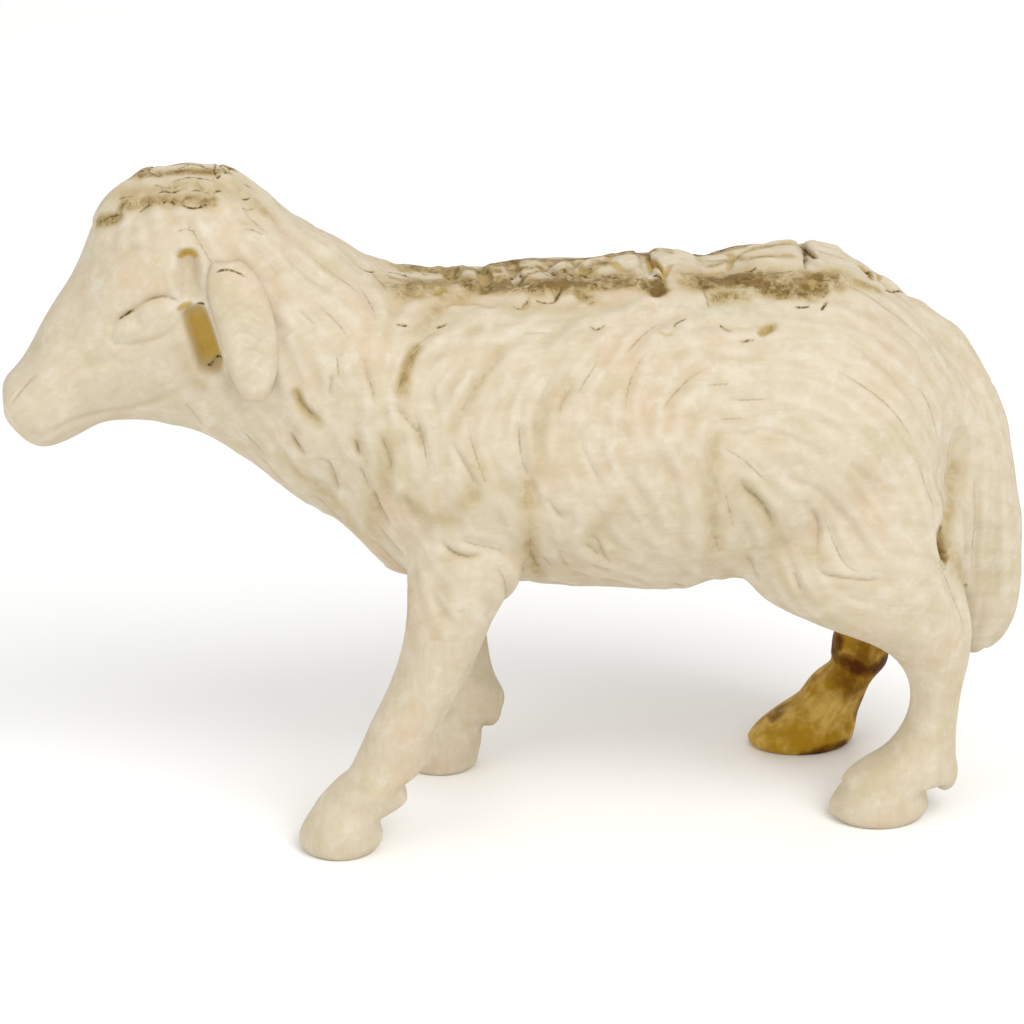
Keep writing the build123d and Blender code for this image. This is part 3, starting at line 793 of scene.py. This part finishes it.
def carve(mesh, rows, pockets=(), fleece=False):
    """Presses the cuts, pockets and gouge strokes into the skin, alike on both sides."""
    points = read_places(mesh)
    normals = read_normals(mesh)
    tree = surface_tree(mesh)
    cuts = laid_cuts(tree, rows)
    if fleece:
        mirrored = points.copy()
        mirrored[:, 1] = -np.abs(points[:, 1])
        share = fleece_share(picture_places(mirrored), points[:, 2])
        guides = run_of_fleece(laid_cuts(tree, fleece_cuts + rump_cuts + tail_cuts))
        cuts += laid_cuts(tree, fleece_creases())
        cuts += gouge_strokes(tree, points, normals, share, guides)
    depth, dark, crest, line, strength = press_cuts(points, normals, cuts)
    sunk = press_cuts(points, normals, laid_cuts(tree, pockets), pocket_sharpness)
    depth += sunk[0]
    dark = np.maximum(dark, sunk[1])
    if fleece:
        for height, length, seed in lumps:
            depth += height * waves(points, length, seed) * share
        # Stains and painted shade in folds and hollows, with the far hind leg's darker patches, stored
        # together
        stain_and_shade = np.maximum(body_stain_and_shade(tree, points, normals), far_leg_darkening(points, normals))
        write_values(mesh, "stain_and_shade", stain_and_shade)
    write_places(mesh, points - normals * depth[:, None])
    write_values(mesh, "dark", dark)
    write_values(mesh, "crest", crest)
    write_values(mesh, "line", line / mm)
    write_values(mesh, "strength", strength)


def groups_of(items, beside):
    """Parts of a mesh in groups that hang together; beside gives the set next to one of them."""
    waiting = set(items)
    groups = []
    while waiting:
        group = []
        front = [waiting.pop()]
        while front:
            item = front.pop()
            group.append(item)
            found = beside(item) & waiting
            waiting -= found
            front.extend(found)
        groups.append(group)
    return groups


def verts_beside(vert):
    """Vertices that share an edge with this one."""
    return {edge.other_vert(vert) for edge in vert.link_edges}


def edges_beside(edge):
    """Edges that meet this one at a vertex."""
    return {other for vert in edge.verts for other in vert.link_edges}


def faces_beside(face):
    """Faces that share an edge with this one."""
    return {other for edge in face.edges for other in edge.link_faces}


def middle_of(verts):
    """The mean place of vertices."""
    return sum((vert.co for vert in verts), Vector()) / len(verts)


def close_gaps(bm, sunk=0.0):
    """Closes each open rim with a fan of flat faces, its middle sunk towards the head."""
    for rim in groups_of([edge for edge in bm.edges if edge.is_boundary], edges_beside):
        middle = middle_of([vert for edge in rim for vert in edge.verts])
        centre = bm.verts.new(middle - Vector((sunk, 0.0, 0.0)))
        for edge in rim:
            corner = edge.link_loops[0]
            bm.faces.new((corner.link_loop_next.vert, corner.vert, centre))
            edge.smooth = False


def cut_away(bm, place, direction, keep_above):
    """Cuts the mesh at a plane, removes one side and closes the cut with flat sharp-edged faces."""
    everything = bm.verts[:] + bm.edges[:] + bm.faces[:]
    bmesh.ops.bisect_plane(
        bm, geom=everything, plane_co=place, plane_no=direction,
        clear_inner=keep_above, clear_outer=not keep_above,
    )
    close_gaps(bm)


def finished_mesh(bm, name, material):
    """Mesh with smooth shading on its skin."""
    mesh = bpy.data.meshes.new(name)
    for face in bm.faces:
        face.smooth = True
    bm.to_mesh(mesh)
    bm.free()
    mesh.materials.clear()
    mesh.materials.append(material)
    return mesh


def add_piece(name, bm, node, material):
    """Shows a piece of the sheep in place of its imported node."""
    piece = bpy.data.objects.new(name, finished_mesh(bm, name, material))
    bpy.context.scene.collection.objects.link(piece)
    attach(piece, "root")
    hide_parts(node)


# Materials
def colour(red, green, blue):
    """Linear colour of a screen colour from 0 to 255."""
    return tuple((value / 255) ** 2.2 for value in (red, green, blue)) + (1.0,)


# Pale wood: its own tones, its patches, painted shade in its cuts, a painted highlight on crests, and its
# stains mixed with painted shade
cream = colour(199, 186, 161)
ring_tone = colour(170, 152, 116)
streak_tone = colour(178, 160, 126)
peach = colour(196, 168, 138)
pale_olive = colour(182, 171, 134)
dull_cream = colour(180, 164, 132)
bright_cream = colour(212, 206, 190)
# Painted highlight on the raised lips beside the strokes
crest_painted_highlight = colour(217, 210, 194)
# Painted shade in the cuts, the ear slot and the hollows, from light to deep
cut_shade_tan = colour(176, 154, 108)
cut_shade_mustard = colour(184, 152, 68)
cut_shade_brown = colour(104, 74, 24)
# Tones of the old stains and of the painted shade in folds and hollows
aged_and_shaded_tone = colour(166, 144, 94)
old_stain_and_deep_shade_tone = colour(114, 88, 38)
grime_brown = colour(112, 88, 42)
vein_brown = colour(84, 64, 28)
# Painted shade: brown of the thin hairlines in the narrow cuts
hairline_shade_brown = colour(76, 56, 24)
# Darker far hind leg, and the dowels' wood
honey = colour(200, 166, 88)
amber = colour(162, 124, 30)
amber_brown = colour(150, 112, 36)
leg_brown = colour(112, 74, 6)
leg_umber = colour(80, 42, 2)
dowel_cream = colour(222, 192, 146)
dowel_brown = colour(188, 150, 100)
floor_white = colour(250, 250, 249)

# Patterns: features per mm, detail and roughness, and how much the grain is drawn out
streak_pattern = (2.6, 4.0, 0.6)
patch_pattern = (0.11, 5.0, 0.62)
olive_pattern = (0.19, 5.0, 0.6)
mottle_pattern = (0.55, 5.0, 0.66)
spot_pattern = (1.1, 4.0, 0.7)
grime_pattern = (1.6, 4.0, 0.7)
hairline_break_pattern = (2.2, 3.0, 0.6)
ring_pattern = {"Scale": 0.16, "Distortion": 2.2, "Detail": 2.0, "Detail Scale": 0.6}
vein_pattern = {"Scale": 0.85, "Detail": 3.0, "Distortion": 1.2}
dark_streak_pattern = (2.0, 4.0, 0.6)
dark_mottle_pattern = (0.30, 5.0, 0.62)
dark_spot_pattern = (0.8, 4.0, 0.65)
dowel_pattern = (2.2, 4.0, 0.6)
pale_grain_share = 0.12
grime_grain_share = 0.35
vein_grain_share = 0.45
dark_grain_share = 0.15
dowel_grain_share = 0.1
no_turn = (0.0, 0.0, 0.0)
upright_turn = (0.0, math.radians(90), 0.0)
dark_turn = (0.0, math.radians(55), 0.0)
dowel_turn = (0.0, math.radians(34), 0.0)
# Turn of the grain, place of the pith in mm, and share of the ring tone in each pale wood
pale_woods = {
    "trunk_wood": (no_turn, (0.0, -14.0, -52.0), 0.14),
    "head_wood": ((0.0, math.radians(35), 0.0), (0.0, 16.0, -30.0), 0.06),
    "leg_wood": (upright_turn, (0.0, 20.0, 8.0), 0.08),
}
# Thin hairlines of painted shade along the narrow cuts: half width and its unevenness, in mm
hairline_shade_width = 0.13
hairline_shade_unevenness = (-0.02, 0.07)
# Relief of the surface: strength and height of the bumps
pale_relief = (0.6, 0.07 * mm)
dark_relief = (0.5, 0.04 * mm)
dowel_relief = (0.4, 0.04 * mm)
pale_gloss = 0.3
dark_gloss = 0.08
dowel_gloss = 0.5
floor_gloss = 0.1


class Nodes:
    """Small helper that adds linked nodes to a material."""

    def __init__(self, name):
        self.material = bpy.data.materials.new(name)
        self.material.use_nodes = True
        self.tree = self.material.node_tree
        self.shader = self.tree.nodes["Principled BSDF"]

    def give(self, socket, value):
        """Links a value to a socket, or sets it where it is constant."""
        if isinstance(value, bpy.types.NodeSocket):
            self.tree.links.new(value, socket)
        else:
            socket.default_value = value

    def add(self, kind, inputs=None, **settings):
        node = self.tree.nodes.new(kind)
        for key, value in settings.items():
            setattr(node, key, value)
        for key, value in (inputs or {}).items():
            self.give(node.inputs[key], value)
        return node

    def maths(self, operation, first, second=0.0):
        return self.add("ShaderNodeMath", {0: first, 1: second}, operation=operation).outputs[0]

    def mapped(self, value, start, end, low=0.0, high=1.0):
        node = self.add("ShaderNodeMapRange", {0: value, 1: start, 2: end, 3: low, 4: high})
        node.interpolation_type = "SMOOTHSTEP"
        return node.outputs[0]

    def mixed(self, share, first, second):
        return self.add("ShaderNodeMix", {0: share, 6: first, 7: second}, data_type="RGBA").outputs[2]

    def layered(self, tone, layers):
        """A colour with others laid over it; each layer is a pattern, its range and a colour."""
        for pattern, limits, over in layers:
            tone = self.mixed(self.mapped(pattern, *limits), tone, over)
        return tone

    def noise(self, places, scale, detail, roughness):
        inputs = {"Vector": places, "Scale": scale, "Detail": detail, "Roughness": roughness}
        return self.add("ShaderNodeTexNoise", inputs).outputs["Fac"]

    def stored(self, name):
        return self.add("ShaderNodeAttribute", attribute_name=name).outputs["Fac"]

    def wood_places(self, turn, stretch):
        """Object places in mm, turned so that the grain runs along X, and squeezed along it."""
        coordinates = self.add("ShaderNodeTexCoord").outputs["Object"]
        turned = self.add("ShaderNodeMapping", {0: coordinates, 2: turn, 3: (1 / mm, 1 / mm, 1 / mm)})
        return self.add("ShaderNodeMapping", {0: turned.outputs[0], 3: (stretch, 1.0, 1.0)}).outputs[0]

    def finished(self, tone, roughness, height, relief, gloss):
        """The material, with its colour, roughness and bumps joined to the shader."""
        strength, distance = relief
        bump = self.add("ShaderNodeBump", {"Strength": strength, "Distance": distance, "Height": height})
        self.give(self.shader.inputs["Base Color"], tone)
        self.give(self.shader.inputs["Roughness"], roughness)
        self.give(self.shader.inputs["Normal"], bump.outputs[0])
        self.shader.inputs["Specular IOR Level"].default_value = gloss
        return self.material


def pale_wood(name, turn, pith, ring_share):
    """Pale close-grained wood with soft growth rings, warmer patches, painted shade in the cuts, a painted
    highlight on crests, and old stains mixed with painted shade.
    """
    nodes = Nodes(name)
    grain = nodes.wood_places(turn, pale_grain_share)
    solid = nodes.wood_places(no_turn, 1.0)
    moved = nodes.add("ShaderNodeMapping", {0: grain, 1: pith}).outputs[0]
    rings = nodes.add(
        "ShaderNodeTexWave", {"Vector": moved} | ring_pattern,
        wave_type="RINGS", rings_direction="X", wave_profile="SIN",
    ).outputs["Fac"]
    streaks = nodes.noise(grain, *streak_pattern)
    mottle = nodes.noise(solid, *mottle_pattern)
    spots = nodes.noise(solid, *spot_pattern)
    stain_and_shade = nodes.stored("stain_and_shade")
    # Painted shade: the cuts' stored darkness, broken up by spots, turns them tan, mustard and brown
    uneven = nodes.maths("MULTIPLY", nodes.stored("dark"), nodes.mapped(spots, 0.25, 0.70, 0.78, 1.2))
    # Stains and painted shade in folds and hollows, mottled
    stain_and_shade_share = nodes.maths("MULTIPLY", stain_and_shade, nodes.mapped(mottle, 0.32, 0.66, 0.5, 1.2))
    tone = nodes.layered(cream, (
        (rings, (0.70, 1.0, 0.0, ring_share), ring_tone),
        (streaks, (0.45, 0.75, 0.0, 0.2), streak_tone),
        (nodes.noise(solid, *patch_pattern), (0.50, 0.68, 0.0, 0.45), peach),
        (nodes.noise(solid, *olive_pattern), (0.50, 0.68, 0.0, 0.45), pale_olive),
        (mottle, (0.32, 0.50, 0.3, 0.0), dull_cream),
        (mottle, (0.50, 0.68, 0.0, 0.4), bright_cream),
        # Painted highlight: the raised lips beside the strokes are made lighter
        (nodes.stored("crest"), (0.3, 1.0, 0.0, 0.16), crest_painted_highlight),
        (uneven, (0.04, 0.36, 0.0, 0.9), cut_shade_tan),
        (uneven, (0.34, 0.68), cut_shade_mustard),
        (uneven, (0.70, 1.10), cut_shade_brown),
        (stain_and_shade_share, (0.05, 0.60, 0.0, 0.85), aged_and_shaded_tone),
        (stain_and_shade_share, (0.40, 1.05, 0.0, 0.9), old_stain_and_deep_shade_tone),
    ))
    # Grime and veins follow the same stored share, so they also reach the stronger painted shade
    grime = nodes.noise(nodes.wood_places(upright_turn, grime_grain_share), *grime_pattern)
    dirt = nodes.mapped(grime, 0.47, 0.60)
    grimy = nodes.maths("MULTIPLY", dirt, nodes.mapped(stain_and_shade, 0.30, 0.90, 0.0, 0.8))
    bent = nodes.add(
        "ShaderNodeTexNoise", {"Vector": nodes.wood_places(no_turn, vein_grain_share)} | vein_pattern,
    ).outputs["Fac"]
    vein = nodes.mapped(nodes.maths("ABSOLUTE", nodes.maths("SUBTRACT", bent, 0.5)), 0.0, 0.035, 1.0, 0.0)
    broken = nodes.maths("MULTIPLY", vein, nodes.mapped(spots, 0.46, 0.56))
    veins = nodes.maths("MULTIPLY", broken, nodes.mapped(stain_and_shade, 0.35, 0.80, 0.0, 0.8))
    # Painted shade: thin dark hairlines along the bottom of the narrow cuts, broken up by noise
    gap = nodes.maths("ABSOLUTE", nodes.stored("line"))
    rough_gap = nodes.maths("SUBTRACT", gap, nodes.mapped(spots, 0.35, 0.70, *hairline_shade_unevenness))
    thin = nodes.mapped(rough_gap, 0.0, hairline_shade_width, 1.0, 0.0)
    hairline_breaks = nodes.mapped(nodes.noise(solid, *hairline_break_pattern), 0.38, 0.58, 0.25, 1.0)
    strength = nodes.mapped(nodes.stored("strength"), 0.06, 0.66, 0.0, 0.95)
    hairline_shade = nodes.maths("MULTIPLY", nodes.maths("MULTIPLY", thin, hairline_breaks), strength)
    for share, over in ((grimy, grime_brown), (veins, vein_brown), (hairline_shade, hairline_shade_brown)):
        tone = nodes.mixed(share, tone, over)
    pores = nodes.maths("ADD", nodes.maths("MULTIPLY", streaks, 0.3), nodes.maths("MULTIPLY", spots, 0.4))
    height = nodes.maths("SUBTRACT", pores, nodes.maths("ADD", hairline_shade, veins))
    roughness = nodes.mapped(streaks, 0.3, 0.7, 0.52, 0.66)
    return nodes.finished(tone, roughness, height, pale_relief, pale_gloss)


def dark_leg_material(name):
    """Amber brown mottled colour of the far hind leg, darker than the rest of the sheep."""
    nodes = Nodes(name)
    solid = nodes.wood_places(no_turn, 1.0)
    streaks = nodes.noise(nodes.wood_places(dark_turn, dark_grain_share), *dark_streak_pattern)
    spots = nodes.noise(solid, *dark_spot_pattern)
    stain_and_shade_share = nodes.maths("MULTIPLY", nodes.stored("stain_and_shade"), nodes.mapped(spots, 0.30, 0.66, 0.7, 1.2))
    tone = nodes.layered(honey, (
        (nodes.noise(solid, *dark_mottle_pattern), (0.38, 0.62), amber),
        (streaks, (0.45, 0.7, 0.0, 0.35), amber_brown),
        (stain_and_shade_share, (0.15, 0.60, 0.0, 0.85), leg_brown),
        (stain_and_shade_share, (0.50, 1.00, 0.0, 0.95), leg_umber),
    ))
    roughness = nodes.mapped(streaks, 0.3, 0.7, 0.42, 0.58)
    return nodes.finished(tone, roughness, streaks, dark_relief, dark_gloss)


def dowel_wood(name):
    """Plain straight-grained wood of the hidden dowels."""
    nodes = Nodes(name)
    streaks = nodes.noise(nodes.wood_places(dowel_turn, dowel_grain_share), *dowel_pattern)
    tone = nodes.layered(dowel_cream, ((streaks, (0.35, 0.65), dowel_brown),))
    roughness = nodes.mapped(streaks, 0.3, 0.7, 0.6, 0.75)
    return nodes.finished(tone, roughness, streaks, dowel_relief, dowel_gloss)


def floor_material():
    """Plain pale floor."""
    nodes = Nodes("floor")
    nodes.shader.inputs["Base Color"].default_value = floor_white
    nodes.shader.inputs["Roughness"].default_value = 0.9
    nodes.shader.inputs["Specular IOR Level"].default_value = floor_gloss
    return nodes.material


def add_stage():
    """Floor, soft lights and an even pale surround."""
    mesh = bpy.data.meshes.new("floor")
    corners = [(x * floor_reach, y * floor_reach, 0) for x, y in ((-1, -1), (1, -1), (1, 1), (-1, 1))]
    mesh.from_pydata(corners, [], [(0, 1, 2, 3)])
    mesh.materials.append(floor_material())
    floor = bpy.data.objects.new("floor", mesh)
    bpy.context.scene.collection.objects.link(floor)
    for name, place, size, power in lights:
        data = bpy.data.lights.new(name, "AREA")
        data.size = size
        data.energy = power
        light = bpy.data.objects.new(name, data)
        light.location = place
        light.rotation_euler = (camera_target - Vector(place)).to_track_quat("-Z", "Y").to_euler()
        bpy.context.scene.collection.objects.link(light)
    world = bpy.data.worlds.new("surround")
    world.use_nodes = True
    background = world.node_tree.nodes["Background"]
    background.inputs[0].default_value = (1.0, 1.0, 1.0, 1.0)
    background.inputs[1].default_value = surround_strength
    bpy.context.scene.world = world
    bpy.context.scene.view_settings.view_transform = "Standard"


# Pieces
def bare_tail(skin):
    """Sets the rear corners of the thighs forward, so that the tail stands clear of them."""
    places = read_places(skin)
    share = eased(places[:, 0], *corner_lengthwise) * eased(np.abs(places[:, 1]), *corner_sideways)
    share *= eased(places[:, 2], *corner_bottom) * (1 - eased(places[:, 2], *corner_top))
    places[:, 0] -= corner_depth * share
    write_places(skin, places)


def straighten_shin(skin):
    """Sets back the front of the far hind leg, so that it runs straight down to the toe."""
    places = read_places(skin)
    across, down = picture_places(places).T
    line = np.interp(down, *shin_line)
    share = eased(line + shin_front[0] - across, 0.0, shin_front[0] - shin_front[1])
    share *= (places[:, 1] > 0) & (places[:, 0] > rump_start) & (places[:, 2] < leg_joint_height)
    places[:, 0] += np.interp(down, shin_down, shin_back) * mm * share
    write_places(skin, places)


def smoothing_weights(places):
    """How strongly each point of the body's skin is smoothed."""
    lengthwise, sideways, heights = places.T
    weights = leg_smooth_share + (1 - leg_smooth_share) * eased(heights, *leg_smooth_heights)
    weights *= 1 - ridge_kept_share * eased(heights, *ridge_heights) * eased(lengthwise, *ridge_start)
    far_hind = (lengthwise > rump_start) & (sideways > 0) & (heights < leg_joint_height)
    weights[far_hind] = 1.0
    return weights * eased(heights, *sole_heights)


def carved_body():
    """Trunk, head, tail and legs as one carved skin."""
    meshes = [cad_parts[name].data for name in ("torso", "head", "tail") + leg_names]
    leg_side = -sum(corner.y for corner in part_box("front_left_leg")) / 2
    for across, down, side, size in knobs:
        meshes.append(lump(point_seen(across, down, side * leg_side), size))
    for place, size in tail_lumps:
        for side in (-1, 1):
            meshes.append(lump(Vector((place.x, side * place.y, place.z)), size))
    skin = fused_skin("body", meshes, skin_voxel)
    smoothed(skin, smoothing_weights(read_places(skin)), smooth_rounds)
    bare_tail(skin)
    straighten_shin(skin)
    carve(skin, fleece_cuts + scallop_cuts + rump_cuts + spine_cuts + cap_cuts
          + face_cuts + slot_edge_cuts + tail_cuts + hollow_cuts, slot_cuts, fleece=True)
    return skin


def tail_faces(bm):
    """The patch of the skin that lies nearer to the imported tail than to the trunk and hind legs."""
    trees = {}
    for name in ("tail", "torso", "rear_left_leg", "rear_right_leg"):
        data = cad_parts[name].data
        trees[name] = BVHTree.FromPolygons(
            [vert.co for vert in data.vertices], [face.vertices for face in data.polygons],
        )
    low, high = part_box("tail")
    found = set()
    for face in bm.faces:
        place = face.calc_center_median()
        upright = low.z - tail_margin < place.z < high.z and place.x > low.x
        if upright and abs(place.y) < high.y + tail_margin:
            gaps = {name: tree.find_nearest(place)[3] for name, tree in trees.items()}
            if gaps["tail"] == min(gaps.values()):
                found.add(face)
    return set(max(groups_of(found, faces_beside), key=len))


def add_body(pale_trunk, pale_head, pale_leg, dark_leg):
    """Splits the carved skin at the neck, tail and leg joints into its glued pieces."""
    skin = carved_body()
    up = Vector((0.0, 0.0, 1.0))
    leg_plane = up * leg_joint_height
    for name in ("torso", "head", "tail"):
        bm = bmesh.new()
        bm.from_mesh(skin)
        tail = tail_faces(bm)
        unwanted = [face for face in bm.faces if (face in tail) != (name == "tail")]
        bmesh.ops.delete(bm, geom=unwanted, context="FACES")
        close_gaps(bm, tail_cap_depth)
        if name != "tail":
            cut_away(bm, leg_plane, up, True)
            cut_away(bm, neck_joint_place, neck_direction, name == "torso")
        add_piece("carved_" + name, bm, name, pale_head if name == "head" else pale_trunk)
    for name in leg_names:
        bm = bmesh.new()
        bm.from_mesh(skin)
        bmesh.ops.delete(bm, geom=list(tail_faces(bm)), context="FACES")
        close_gaps(bm, tail_cap_depth)
        cut_away(bm, leg_plane, up, False)
        middle = sum(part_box(name), Vector()) / 2
        groups = groups_of(bm.verts, verts_beside)
        groups.sort(key=lambda group: (middle_of(group) - middle).length)
        bmesh.ops.delete(bm, geom=[vert for group in groups[1:] for vert in group], context="VERTS")
        dark = name == "rear_right_leg"
        add_piece("carved_" + name, bm, name,
                  dark_leg if dark else pale_leg)


def add_ear(name, material):
    """An ear, carved by itself and seated on the side of the head."""
    skin = fused_skin(name, [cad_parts[name].data], ear_voxel)
    smoothed(skin, np.ones(len(skin.vertices)), ear_rounds)
    carve(skin, ear_cuts)
    bm = bmesh.new()
    bm.from_mesh(skin)
    add_piece("carved_" + name, bm, name, material)


add_camera()
add_stage()
trunk_wood, head_wood, leg_wood = (pale_wood(name, *facts) for name, facts in pale_woods.items())
add_body(trunk_wood, head_wood, leg_wood, dark_leg_material("dark_leg_wood"))
add_ear("left_ear", head_wood)
add_ear("right_ear", head_wood)
dowel_material = dowel_wood("dowel_wood")
for node_name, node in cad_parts.items():
    if node_name.endswith("_dowel"):
        node.data.materials.clear()
        node.data.materials.append(dowel_material)
